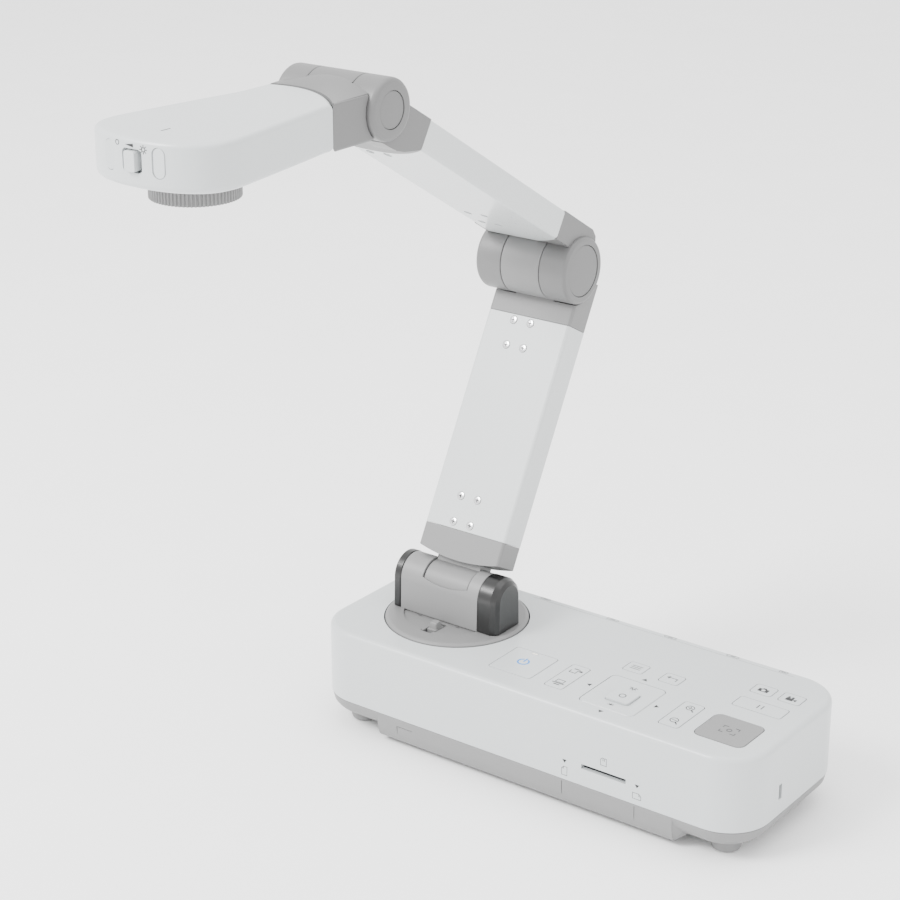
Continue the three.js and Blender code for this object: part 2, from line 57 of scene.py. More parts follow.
CAP_LEFT, TOWER_LEFT, TOWER_RIGHT, CAP_RIGHT = -33, -28.3, 21.8, 34.2
CAVITY_FLOOR = 61.9
SCREW_R = 2.2
ARC_RISE = 17
DIAL_R, DIAL_BOTTOM = 20.2, -23.0
KEY_BOTTOM = 51.2
LOWER_LEAN = math.radians(-28.7)
UPPER_LEAN = math.radians(59)
ARM_HALF = 26.0
LOWER = {"front": -7.6, "back": 9.9, "from": 28.2, "to": 147.2}
UPPER = {"under": 7.6, "over": 22.9, "from": 30.2, "to": 162.6}
ELBOW_R, ELBOW_HALF, ELBOW_KNUCKLE = 18.0, 28.5, 12.0
WRIST_R, WRIST_HALF, WRIST_KNUCKLE = 14.75, 29.0, 13.0
TOWER_R = 11.6
TOWER_SLOT = 14.8
HEAD_TOP, HEAD_BOTTOM = 9.0, -12.5

# ---- places -------------------------------------------------------------------------------------
MM = Matrix.Scale(0.001, 4)
base_low, base_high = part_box("base_cover")
disc_low, disc_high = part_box("turntable_disc")
joints = {j["name"]: j for j in frame["joints"]}
BASE = Matrix.Translation((0, (base_low[1] + base_high[1]) / 2, 0)) @ MM
BASE_W, BASE_D = [(base_high[i] - base_low[i]) * 1000 for i in (0, 1)]
TOP = base_high[2] * 1000
TURN_X = (disc_low[0] + disc_high[0]) * 500
TURN_Y = joints["turntable_swivel"]["pos_m"][1] * 1000 - BASE[1][3] * 1000
DISC_TOP = disc_high[2] * 1000
KEY_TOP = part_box("key_menu")[1][2] * 1000


def at_joint(name, lean=0.0):
    return Matrix.Translation(joints[name]["pos_m"]) @ Matrix.Rotation(lean, 4, "X") @ MM


TURN = BASE @ Matrix.Translation((TURN_X, 0, 0))
LOWER_ARM = at_joint("arm_tilt", LOWER_LEAN)
UPPER_ARM = at_joint("elbow_fold", UPPER_LEAN)
HEAD = at_joint("head_tilt")


def in_frame(place, joint):
    """Where a joint's axis lies in a leaning frame, as (y, z) in millimetres."""
    point = place.inverted() @ Vector(joints[joint]["pos_m"])
    return point.y, point.z


ELBOW_Y, ELBOW_Z = in_frame(LOWER_ARM, "elbow_fold")
WRIST_Y, WRIST_Z = in_frame(UPPER_ARM, "head_tilt")
TILT_Y, TILT_Z = in_frame(BASE, "arm_tilt")
DIAL_Y = (joints["image_rotation"]["pos_m"][1] - joints["head_tilt"]["pos_m"][1]) * 1000


# ---- outlines -----------------------------------------------------------------------------------
def rounded(w, d, r, steps=12, centre=(0, 0)):
    points = []
    for sx, sy, start in ((1, -1, -90), (1, 1, 0), (-1, 1, 90), (-1, -1, 180)):
        for i in range(steps + 1):
            a = math.radians(start + 90 * i / steps)
            points.append((centre[0] + sx * (w / 2 - r) + r * math.cos(a),
                           centre[1] + sy * (d / 2 - r) + r * math.sin(a)))
    return points


def inset(outline, d):
    """The counter-clockwise outline moved inwards by d."""
    out = []
    n = len(outline)
    for i, p in enumerate(outline):
        a = (Vector(p) - Vector(outline[i - 1])).normalized()
        b = (Vector(outline[(i + 1) % n]) - Vector(p)).normalized()
        normal = Vector((-a.y - b.y, a.x + b.x)).normalized()
        step = d / max(0.5, normal.dot(Vector((-a.y, a.x))))
        out.append((p[0] + normal.x * step, p[1] + normal.y * step))
    return out


def arc(cx, cy, r, start, end, steps=24):
    """Points along a circle, from start to end in degrees."""
    turns = [math.radians(start + (end - start) * i / steps) for i in range(steps + 1)]
    return [(cx + r * math.cos(a), cy + r * math.sin(a)) for a in turns]


def through(points, steps=8):
    """A smooth curve through the points (Catmull-Rom), ends included."""
    ends = [points[0], *points, points[-1]]
    out = []
    for i in range(1, len(ends) - 2):
        p0, p1, p2, p3 = (Vector(ends[i + k]) for k in (-1, 0, 1, 2))
        for k in range(steps):
            t = k / steps
            out.append(tuple(0.5 * (2 * p1 + (p2 - p0) * t + (2 * p0 - 5 * p1 + 4 * p2 - p3) * t**2
                                    + (3 * p1 - p0 - 3 * p2 + p3) * t**3)))
    return [*out, tuple(points[-1])]


# ---- solids -------------------------------------------------------------------------------------
def make(name, verts, faces, place):
    mesh = bpy.data.meshes.new(name)
    mesh.from_pydata([tuple(v) for v in verts], [], faces)
    mesh.transform(place)
    bm = bmesh.new()
    bm.from_mesh(mesh)
    bmesh.ops.remove_doubles(bm, verts=bm.verts, dist=1e-7)
    bmesh.ops.recalc_face_normals(bm, faces=bm.faces)
    bm.to_mesh(mesh)
    bm.free()
    obj = bpy.data.objects.new(name, mesh)
    bpy.context.scene.collection.objects.link(obj)
    return obj


def stack(name, rings, place):
    """Closed solid through rings of equally many 3-D points."""
    n = len(rings[0])
    faces = [tuple(range(n))[::-1], tuple(range((len(rings) - 1) * n, len(rings) * n))]
    for k in range(len(rings) - 1):
        for i in range(n):
            j = (i + 1) % n
            faces.append((k * n + i, k * n + j, (k + 1) * n + j, (k + 1) * n + i))
    return make(name, [p for ring in rings for p in ring], faces, place)


def loft(name, layers, place):
    """Layers are (z, outline), from the bottom up."""
    return stack(name, [[(x, y, z) for x, y in outline] for z, outline in layers], place)


def prism(name, outline, z0, z1, place):
    return loft(name, [(z0, outline), (z1, outline)], place)


def sideways(name, outline, x0, x1, place):
    """Outline of (y, z) points, extruded from x0 to x1."""
    return stack(name, [[(x, y, z) for y, z in outline] for x in (x0, x1)], place)


def front_cut(name, outline, y0, y1, place):
    """Outline of (x, z) points, extruded from y0 to y1."""
    return stack(name, [[(x, y, z) for x, z in outline] for y in (y0, y1)], place)


def block(name, x0, x1, y0, y1, z0, z1, place):
    return prism(name, [(x0, y0), (x1, y0), (x1, y1), (x0, y1)], z0, z1, place)


def turned(name, profile, centre, place, sides=96, axis="Z"):
    """Profile of (radius, height) pairs turned about an axis through centre; it closes on itself."""
    rings = []
    for i in range(sides):
        a = 2 * math.pi * i / sides
        ring = []
        for r, h in profile:
            u, v = r * math.cos(a), r * math.sin(a)
            ring.append((u, v, h) if axis == "Z" else (h, u, v))
        rings.append([tuple(Vector(p) + Vector(centre)) for p in ring])
    n = len(profile)
    faces = []
    for k in range(sides):
        for i in range(n):
            if profile[i][0] == 0 and profile[(i + 1) % n][0] == 0:
                continue
            a, b = k * n + i, k * n + (i + 1) % n
            c, d = ((k + 1) % sides) * n + (i + 1) % n, ((k + 1) % sides) * n + i
            faces.append((a, b, c, d))
    return make(name, [p for ring in rings for p in ring], faces, place)


def barrel(name, r, x0, x1, y, z, place, bevel=0.0):
    if bevel:
        profile = [(0, x0), (r - bevel, x0), (r, x0 + bevel), (r, x1 - bevel), (r - bevel, x1), (0, x1)]
    else:
        profile = [(0, x0), (r, x0), (r, x1), (0, x1)]
    return turned(name, profile, (0, y, z), place, axis="X")


def combine(obj, tools, operation):
    for tool in tools:
        step = obj.modifiers.new("step", "BOOLEAN")
        step.operation = operation
        step.solver = "EXACT"
        step.object = tool
    bpy.context.view_layer.update()
    shaped = obj.evaluated_get(bpy.context.evaluated_depsgraph_get())
    mesh = bpy.data.meshes.new_from_object(shaped)
    obj.modifiers.clear()
    obj.data = mesh
    for tool in tools:
        bpy.data.objects.remove(tool)
    return obj


def cut(obj, *tools):
    return combine(obj, tools, "DIFFERENCE")


def join(obj, *tools):
    return combine(obj, tools, "UNION")


def soften(obj, bevel=0.0, angle=32, segments=3):
    obj.data.polygons.foreach_set("use_smooth", [True] * len(obj.data.polygons))
    obj.data.set_sharp_from_angle(angle=math.radians(angle))
    if bevel:
        edge = obj.modifiers.new("edge", "BEVEL")
        edge.width = bevel * 0.001
        edge.segments = segments
        edge.limit_method = "ANGLE"
        edge.angle_limit = math.radians(max(angle, 40))
        edge.harden_normals = True
    normals = obj.modifiers.new("normals", "WEIGHTED_NORMAL")
    normals.keep_sharp = True
    return obj


# ---- materials ----------------------------------------------------------------------------------
def moulded(name, colour, rough, grain=0.02, metallic=0.0, coat=0.0, scale=900.0):
    """Moulded plastic, rubber or metal: fine grain in the surface and a slight drift in tone and gloss."""
    material = bpy.data.materials.new(name)
    material.use_nodes = True
    nodes, links = material.node_tree.nodes, material.node_tree.links
    shader = nodes["Principled BSDF"]
    shader.inputs["Metallic"].default_value = metallic
    shader.inputs["Coat Weight"].default_value = coat
    shader.inputs["Coat Roughness"].default_value = 0.12
    where = nodes.new("ShaderNodeTexCoord")
    fine, broad = nodes.new("ShaderNodeTexNoise"), nodes.new("ShaderNodeTexNoise")
    fine.inputs["Scale"].default_value = scale
    fine.inputs["Detail"].default_value = 3
    broad.inputs["Scale"].default_value = 14
    broad.inputs["Detail"].default_value = 2
    tone = nodes.new("ShaderNodeMix")
    tone.data_type = "RGBA"
    tone.inputs["A"].default_value = (*[c * 0.975 for c in colour], 1)
    tone.inputs["B"].default_value = (*[min(1, c * 1.02) for c in colour], 1)
    gloss = nodes.new("ShaderNodeMapRange")
    gloss.inputs["To Min"].default_value = rough * 0.92
    gloss.inputs["To Max"].default_value = rough * 1.1
    bump = nodes.new("ShaderNodeBump")
    bump.inputs["Strength"].default_value = grain
    bump.inputs["Distance"].default_value = 0.0002
    links.new(where.outputs["Object"], fine.inputs["Vector"])
    links.new(where.outputs["Object"], broad.inputs["Vector"])
    links.new(broad.outputs["Fac"], tone.inputs["Factor"])
    links.new(tone.outputs["Result"], shader.inputs["Base Color"])
    links.new(fine.outputs["Fac"], gloss.inputs["Value"])
    links.new(gloss.outputs["Result"], shader.inputs["Roughness"])
    links.new(fine.outputs["Fac"], bump.inputs["Height"])
    links.new(bump.outputs["Normal"], shader.inputs["Normal"])
    return material


WHITE = moulded("white_plastic", (0.49, 0.512, 0.517), 0.33, coat=0.15)
WHITE_ARM = moulded("white_arm", (0.53, 0.55, 0.552), 0.28, coat=0.2)
GREY = moulded("grey_plastic", (0.185, 0.185, 0.185), 0.45, 0.05)
MID_GREY = moulded("mid_grey_plastic", (0.165, 0.165, 0.165), 0.45, 0.05)
DARK_GREY = moulded("dark_grey_plastic", (0.13, 0.13, 0.13), 0.42, 0.05)
BLACK = moulded("black_plastic", (0.004, 0.004, 0.004), 0.3, 0.05, coat=0.1)
RUBBER = moulded("rubber", (0.2, 0.2, 0.2), 0.8, 0.2)
STEEL = moulded("steel", (0.56, 0.57, 0.59), 0.3, 0.05, metallic=1.0)
CHROME = moulded("screw_steel", (0.72, 0.72, 0.73), 0.22, 0.02, metallic=1.0)
BOARD = moulded("circuit_board", (0.03, 0.16, 0.07), 0.5, 0.1)
LENS = moulded("optical_glass", (0.008, 0.01, 0.02), 0.04, 0.0, coat=1.0)
LAMP = moulded("lamp_lens", (0.93, 0.9, 0.8), 0.2, 0.02, coat=0.5)
# Printed ink, used also for the painted shade at the bottom of the screw cross recesses.
INK_AND_RECESS_SHADE = moulded("printed_ink_and_recess_shade", (0.006, 0.006, 0.007), 0.5, 0.02)
PALE_INK = moulded("pale_ink", (0.05, 0.052, 0.055), 0.5, 0.02)
BLUE_INK = moulded("blue_ink", (0.0, 0.2, 0.62), 0.45, 0.02)
# Painted shade: a near-black fill for the gaps round the keys and the socket pin holes.
GAP_SHADE = moulded("gap_shadow", (0.02, 0.02, 0.02), 0.8, 0.02)

SLOT_MATERIAL = {
    "white_plastic": WHITE, "grey_plastic": GREY, "dark_grey_plastic": DARK_GREY, "black_plastic": BLACK,
    "rubber": RUBBER, "steel": STEEL, "circuit_board": BOARD, "optical_glass": LENS, "lamp_lens": LAMP,
}


def finish(obj, material, body, stands_for=()):
    obj.data.materials.clear()
    obj.data.materials.append(material)
    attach(obj, body)
    if stands_for:
        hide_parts(*stands_for)
    return obj


# ---- printed marks ------------------------------------------------------------------------------
def stroke(points, width, closed=False):
    """Flat quads along a line."""
    pairs = list(zip(points, points[1:]))
    if closed:
        pairs.append((points[-1], points[0]))
    quads = []
    for a, b in pairs:
        along = (Vector(b) - Vector(a)).normalized() * width / 2
        side = Vector((-along.y, along.x))
        corners = (Vector(a) - along + side, Vector(a) - along - side, Vector(b) + along - side,
                   Vector(b) + along + side)
        quads.append([tuple(c) for c in corners])
    return quads


def ring_mark(cx, cy, r, width, start=0, end=360, steps=28):
    points = arc(cx, cy, r, start, end, steps)
    return stroke(points, width)


def disc_mark(cx, cy, r):
    return [arc(cx, cy, r, 0, 345, 23)]


def sun(cx, cy, r, ray=True, solid_core=False):
    marks = disc_mark(cx, cy, r) if solid_core else ring_mark(cx, cy, r, 0.28)
    for k in range(8):
        a = math.radians(45 * k)
        inner, outer = r * 1.5, r * (2.1 if ray else 1.8)
        marks += stroke([(cx + inner * math.cos(a), cy + inner * math.sin(a)),
                         (cx + outer * math.cos(a), cy + outer * math.sin(a))], 0.3)
    return marks


def mark(name, quads, place, material, body, depth=0.04):
    """Printed mark, or a patch of painted shade: thin flat patches raised off the plane z = 0 of place."""
    verts, faces = [], []
    for number, quad in enumerate(quads):
        n, start = len(quad), len(verts)
        lift = depth * (1 + 0.02 * number)
        verts += [(x, y, 0.005) for x, y in quad] + [(x, y, lift) for x, y in quad]
        faces += [tuple(range(start, start + n))[::-1], tuple(range(start + n, start + 2 * n))]
        faces += [(start + i, start + (i + 1) % n, start + n + (i + 1) % n, start + n + i) for i in range(n)]
    return finish(make(name, verts, faces, place), material, body)


def on_panel(x=0.0, y=0.0, z=None):
    return BASE @ Matrix.Translation((x, y, TOP if z is None else z))


FACING_FRONT = Matrix.Rotation(math.radians(90), 4, "X")
FACING_RIGHT = Matrix.Rotation(math.radians(90), 4, "Z") @ FACING_FRONT


# ---- base ---------------------------------------------------------------------------------------
# name: left, right, front, back, corner radius
KEYS = {
    "key_power": (-27.5, -2.1, -36.2, -9.5, 1.5),
    "key_source": (6.8, 17.3, -36.2, -8.9, 1.5),
    "key_menu": (29, 40.2, 1.6, 11.6, 1.5),
    "key_escape": (50.3, 61.3, 1.6, 11.6, 1.5),
    "key_direction": (29.4, 61, -39.8, -6.2, 3),
    "key_zoom": (73.7, 84.8, -36.5, -9.5, 1.5),
    "key_focus": (92.4, 119.6, -35.8, -10.6, 4),
    "key_freeze": (92.9, 119.8, 1.3, 11.9, 1.5),
    "key_capture": (93, 104.6, 18.9, 28.4, 1.5),
    "key_record": (108.7, 120.4, 18.9, 28.4, 1.5),
}
ENTER = (38.8, 52.2, -29.8, -17.1, 1.5)
CARD = {"x": 52.5, "w": 26, "z": 28, "h": 2.6}
LOCK = {"y": -17, "w": 3, "z0": 26, "z1": 34}
PORT_BACK = 50.4
PORT_FLOOR = 23.9
PORTS = {"port_usb": (-49, 12, 11), "port_hdmi": (-5.7, 15.4, 6.6), "port_video_out": (30, 31, 12.5),
         "port_video_in": (67.5, 31, 12.5), "port_power": (97, 9.4, 11.4)}


def key_outline(size, grow=0.0):
    x0, x1, y0, y1, r = size
    centre = ((x0 + x1) / 2, (y0 + y1) / 2)
    return rounded(x1 - x0 + 2 * grow, y1 - y0 + 2 * grow, r + max(grow, 0), 6, centre)


def base_shells():
    outline = rounded(BASE_W, BASE_D, CORNER, 20)
    fillet = [(TOP - FILLET + FILLET * math.sin(a), FILLET * (1 - math.cos(a)))
              for a in (math.radians(15 * k) for k in range(7))]
    layers = [(PARTING + 0.15, inset(outline, 0.25)), (PARTING + 0.4, outline)]
    layers += [(z, inset(outline, d)) for z, d in fillet]
    cover = loft("base_cover_shell", layers, BASE)
    roof = TOP - WALL
    holes = [prism("c", key_outline(size, GAP), roof - 1, TOP + 1, BASE) for size in KEYS.values()]
    holes.append(prism("c", inset(outline, WALL), PARTING - 1, roof, BASE))
    holes.append(turned("c", [(0, roof - 1), (TABLE_HOLE, roof - 1), (TABLE_HOLE, TOP + 1), (0, TOP + 1)],
                        (TURN_X, TURN_Y, 0), BASE))
    for x, w, h in PORTS.values():
        holes.append(block("c", x - w / 2 - GAP, x + w / 2 + GAP, PORT_BACK - 6, PORT_BACK + 2,
                           PORT_FLOOR - GAP, PORT_FLOOR + h + GAP, BASE))
    half = BASE_D / 2
    holes.append(block("c", CARD["x"] - CARD["w"] / 2, CARD["x"] + CARD["w"] / 2, -half - 1, -half + 5,
                       CARD["z"] - CARD["h"] / 2, CARD["z"] + CARD["h"] / 2, BASE))
    holes.append(block("c", BASE_W / 2 - 5, BASE_W / 2 + 1, LOCK["y"] - LOCK["w"] / 2,
                       LOCK["y"] + LOCK["w"] / 2, LOCK["z0"], LOCK["z1"], BASE))
    finish(soften(cut(cover, *holes), angle=28), WHITE, "base", ["base_cover"])

    tray_layers = [(6.6, inset(outline, 8.6)), (7.2, inset(outline, 7.2)), (8.6, inset(outline, 4.9)),
                   (10.4, inset(outline, 2.9)), (12.6, inset(outline, 1.3)),
                   (PARTING - 0.35, inset(outline, 0.3)), (PARTING, inset(outline, 0.6))]
    tray = loft("base_tray_shell", tray_layers, BASE)
    profile = through([(-half + 0.35, PARTING - 0.4), (-half + 0.5, 11), (-half + 1.4, 6), (-half + 3.2, 3),
                       (-half + 6.5, 2)], 5)
    keel_outline = profile + [(-y, z) for y, z in reversed(profile)]
    keel = sideways("c", keel_outline, STEP_LEFT, STEP_RIGHT, BASE)
    ramp = stack("c", [[(x, y * (1 - 0.02 * lift), z + lift * (PARTING - 0.4 - z) / 12)
                        for y, z in keel_outline] for x, lift in ((91.5, 0.0), (95, 2.0), (98, 4.6))], BASE)
    grooves = [block("c", x - 0.18, x + 0.18, -half - 1, -half + 1.0, z0, PARTING - 1.2, BASE)
               for x, z0 in ((28, 5), (70.5, 5))]
    panel = [block("c", -76.2, -75.8, -half - 1, -half + 1.0, 4.5, 12.6, BASE),
             block("c", -76.2, -66, -half - 1, -half + 0.8, 12.5, 12.8, BASE)]
    finish(soften(cut(join(tray, keel, ramp), *grooves, *panel), angle=30), GREY, "base",
           ["base_tray"])


def foot_pads():
    for row in ("front", "rear"):
        for side in ("left", "right"):
            node = f"foot_{row}_{side}"
            low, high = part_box(node)
            x, y = (low[0] + high[0]) * 500, (low[1] + high[1]) * 500 - BASE[1][3] * 1000
            pad = turned(node + "_pad", [(0, 0), (6.3, 0), (7.1, 0.5), (7.5, 1.6), (7.5, 6.5), (0, 6.5)],
                         (x, y, 0), BASE)
            finish(soften(pad, 0.2), RUBBER, "base", [node])


def keys():
    for name, size in {**KEYS, "key_enter": ENTER}.items():
        look = (GREY, "grey_plastic") if name == "key_focus" else (WHITE, "white_plastic")
        outline = key_outline(size)
        layers = [(KEY_BOTTOM, outline), (KEY_TOP - 0.45, outline), (KEY_TOP - 0.12, inset(outline, 0.12)),
                  (KEY_TOP, inset(outline, 0.5))]
        if name == "key_direction":
            # A raised square frame whose four sides slope down to the enter key in the middle.
            layers = [(KEY_BOTTOM, outline), (KEY_TOP - 0.5, outline), (KEY_TOP - 0.1, inset(outline, 0.3))]
        cap = loft(name + "_cap", layers, BASE)
        if name == "key_direction":
            dish = stack("c", [[(x, y, z) for x, y in key_outline(ENTER, grow)]
                               for z, grow in ((KEY_TOP - 1.1, GAP + 0.2), (KEY_TOP + 1.0, 14.0))], BASE)
            cap = cut(cap, dish, prism("c", key_outline(ENTER, GAP), KEY_BOTTOM - 1, KEY_TOP + 1, BASE))
        if name == "key_power":
            cap = cut(cap, block("c", -17.6, -13.6, -12.1, -10.6, KEY_BOTTOM - 1, KEY_TOP + 1, BASE))
        finish(soften(cap, angle=25), look[0], name, [name])


def key_gap_shades():
    """Dark rings of painted shade in the gap round each key, just below the top."""
    pressed = set(KEYS) - {"key_source", "key_zoom"}
    for name, size in KEYS.items():
        ring = cut(prism(name + "_gap_shade", key_outline(size, GAP - 0.02), TOP - 2.4, TOP - 0.5, BASE),
                   prism("c", key_outline(size, 0.02 if name in pressed else 0.24), TOP - 3, TOP + 1, BASE))
        finish(ring, GAP_SHADE, "base")


def key_marks():
    z = KEY_TOP + 0.01
    power = on_panel(-15.3, -22.3, z)
    symbol = ring_mark(0, 0, 2.9, 0.8, 120, 420) + stroke([(0, 0.6), (0, 3.6)], 0.8)
    mark("power_symbol", symbol, power, BLUE_INK, "key_power")

    # Source: an arm camera at the back and a computer at the front.
    source = on_panel(12.1, -15.8, z)
    lens = stroke([(-2.6, -1.6), (1.0, -1.6), (1.0, 1.2), (2.4, 1.2)], 0.45)
    lens += stroke([(-2.6, -1.6), (-2.6, 0.6)], 0.45) + [[(2.0, 0.6), (3.6, 0.6), (3.6, 2.0), (2.0, 2.0)]]
    mark("source_camera", lens + stroke([(-1.6, 2.6), (1.2, 2.6)], 0.7), source, INK_AND_RECESS_SHADE, "key_source")
    computer = stroke([(-2.2, -0.6), (2.2, -0.6), (2.2, 2.2), (-2.2, 2.2)], 0.4, True)
    computer += stroke([(-3.2, -1.5), (3.2, -1.5)], 0.6) + stroke([(-1.4, -3.0), (1.4, -3.0)], 0.7)
    mark("source_computer", computer, on_panel(12.1, -29.8, z), INK_AND_RECESS_SHADE, "key_source")

    menu = [line for k in (-1.6, 0, 1.6) for line in stroke([(-2.8, k), (2.8, k)], 0.45)]
    mark("menu_bars", menu, on_panel(34.6, 6.6, z), PALE_INK, "key_menu")
    back = stroke([(2.8, -1.4), (2.8, 1.0), (-2.4, 1.0)], 0.45) + [[(-3.4, 1.0), (-1.6, -0.4), (-1.6, 2.4)]]
    mark("escape_arrow", back, on_panel(55.8, 6.4, z), PALE_INK, "key_escape")

    zoom_x = 79.3
    for y, plus in ((-15.2, True), (-30.4, False)):
        glass = ring_mark(0, 0.4, 2.1, 0.4) + stroke([(1.5, -1.2), (3.0, -2.7)], 0.6)
        glass += stroke([(-1.1, 0.4), (1.1, 0.4)], 0.35)
        if plus:
            glass += stroke([(0, -0.7), (0, 1.5)], 0.35)
        mark("zoom_in" if plus else "zoom_out", glass, on_panel(zoom_x, y, z), INK_AND_RECESS_SHADE, "key_zoom")

    target = [q for sx in (-1, 1) for sy in (-1, 1)
              for q in stroke([(sx * 4.2, sy * 1.6), (sx * 4.2, sy * 3.2), (sx * 2.2, sy * 3.2)], 0.5)]
    mark("focus_frame", target + ring_mark(0, 0, 1.2, 0.45), on_panel(106, -23.2, z), PALE_INK, "key_focus")
    pause = stroke([(-1.2, -1.6), (-1.2, 1.6)], 0.6) + stroke([(1.2, -1.6), (1.2, 1.6)], 0.6)
    mark("freeze_bars", pause, on_panel(106.3, 6.6, z), PALE_INK, "key_freeze")
    still = [[(-2.8, -1.7), (2.8, -1.7), (2.8, 1.3), (-2.8, 1.3)],
             [(-1.2, 1.3), (1.2, 1.3), (0.8, 2.2), (-0.8, 2.2)]]
    mark("capture_camera", still, on_panel(98.8, 23.2, z), INK_AND_RECESS_SHADE, "key_capture")
    mark("capture_lens", disc_mark(0, -0.2, 1.05), on_panel(98.8, 23.2, z + 0.03), WHITE, "key_capture")
    film = [[(-2.8, -1.8), (1.2, -1.8), (1.2, 0.9), (-2.8, 0.9)],
            [(1.4, -0.7), (2.9, -1.6), (2.9, 0.8), (1.4, -0.1)]]
    film += disc_mark(-1.8, 1.7, 0.75) + disc_mark(0.3, 1.7, 0.75)
    mark("record_camera", film, on_panel(114.5, 22.9, z), INK_AND_RECESS_SHADE, "key_record")

    mark("bright_sun", sun(0, 0, 1.0), on_panel(45.4, -12.6, KEY_TOP - 0.42), INK_AND_RECESS_SHADE, "key_direction")
    mark("dim_sun", sun(0, 0, 0.85, False, True), on_panel(45.4, -34.6, KEY_TOP - 0.42), INK_AND_RECESS_SHADE, "key_direction")
    mark("enter_dot", ring_mark(0, 0, 1.7, 0.5), on_panel(45.5, -23.5, z), PALE_INK, "key_enter")
    for name, x, y, turn in (("up", 45.3, -2.0, 0), ("down", 45.3, -43.6, 180), ("left", 25.4, -23, 90),
                             ("right", 65.0, -23, -90)):
        place = on_panel(x, y) @ Matrix.Rotation(math.radians(turn), 4, "Z")
        mark(f"arrow_{name}", [[(-1.5, -1.0), (1.5, -1.0), (0, 1.3)]], place, INK_AND_RECESS_SHADE, "base")


def printed_page():
    """A page outline with one corner folded."""
    return stroke([(-1.6, -2.4), (1.6, -2.4), (1.6, 2.4), (-0.4, 2.4), (-1.6, 1.2)], 0.22, True) + stroke(
        [(-0.4, 2.4), (-0.4, 1.2), (-1.6, 1.2)], 0.2)


def case_marks():
    front = -BASE_D / 2

    def on_front(x, z, turn=0):
        spin = Matrix.Rotation(math.radians(turn), 4, "Z")
        return BASE @ Matrix.Translation((x, front, z)) @ FACING_FRONT @ spin

    mark("page_upright", printed_page(), on_front(29.7, 22.2), INK_AND_RECESS_SHADE, "base")
    mark("page_sideways", printed_page(), on_front(72.0, 22.2, -90), INK_AND_RECESS_SHADE, "base")
    for name, x in (("upright_tick", 29.7), ("sideways_tick", 72.0)):
        mark(name, [[(-1.3, 0.9), (0, -0.9), (1.3, 0.9)]], on_front(x, 27.6), INK_AND_RECESS_SHADE, "base")
    card = stroke([(-1.7, -2.0), (1.7, -2.0), (1.7, 2.0), (-0.8, 2.0), (-1.7, 1.1)], 0.24, True)
    card += stroke([(-0.3, 0.6), (-0.3, 1.5)], 0.3) + stroke([(0.6, 0.6), (0.6, 1.5)], 0.3)
    mark("card_symbol", card, on_front(52.5, 34.6), INK_AND_RECESS_SHADE, "base")

    lock_place = BASE @ Matrix.Translation((BASE_W / 2 - 0.08, -26.2, 28.6)) @ FACING_RIGHT
    lock = stroke([(-1.5, -1.8), (1.5, -1.8), (1.5, 0.4), (-1.5, 0.4)], 0.22, True)
    mark("lock_symbol", lock + ring_mark(0, 0.6, 1.0, 0.22, 0, 180), lock_place, PALE_INK, "base")

    # Symbols for the sockets, along the back edge of the top.
    def on_rear(x):
        return on_panel(x, 47.2)

    for name, (x, w, _) in PORTS.items():
        shape = rounded(min(w, 14) * 0.5, 1.6, 0.5, 4)
        mark(name + "_symbol", stroke(shape, 0.25, True) + stroke([(-1.2, 0), (1.2, 0)], 0.3), on_rear(x),
             PALE_INK, "base")
    mark("rear_line", stroke([(-56, 0), (104, 0)], 0.14), on_panel(0, 45.4), PALE_INK, "base", depth=0.02)


def ports():
    for name, (x, _, h) in PORTS.items():
        if "video" not in name:
            continue
        z = PORT_FLOOR + h / 2
        for side in (-1, 1):
            nut = prism(f"{name}_nut_{side + 1}", rounded(4.6, 4.6, 0.2, 1), 0, 2.2,
                        BASE @ Matrix.Translation((x + side * 12.2, PORT_BACK + 0.1 - 2.4, z))
                        @ Matrix.Rotation(math.radians(-90), 4, "X"))
            finish(soften(nut, 0.25), CHROME, "base")
        for row in (-1, 0, 1):
            for k in range(5):
                # Each pin hole is a flat near-black disc: painted shade inside the hole.
                hole = turned(f"{name}_pin_{row + 1}_{k}", [(0, 0), (0.42, 0), (0.42, 0.12), (0, 0.12)],
                              (0, 0, 0), BASE @ Matrix.Translation((x + (k - 2) * 2.3, PORT_BACK - 1.45,
                                                                    z + row * 2.0))
                              @ Matrix.Rotation(math.radians(-90), 4, "X"), sides=12)
                finish(hole, GAP_SHADE, "base")


# ---- turntable and tower ------------------------------------------------------------------------
def tower_outline(grow=0.0):
    low = DISC_TOP
    r = TOWER_R + grow
    arch = arc(TILT_Y, TILT_Z, r, 0, 180, 40)
    return [(TILT_Y + r + 0.4, low), *arch, (TILT_Y - r - 0.4, low)]


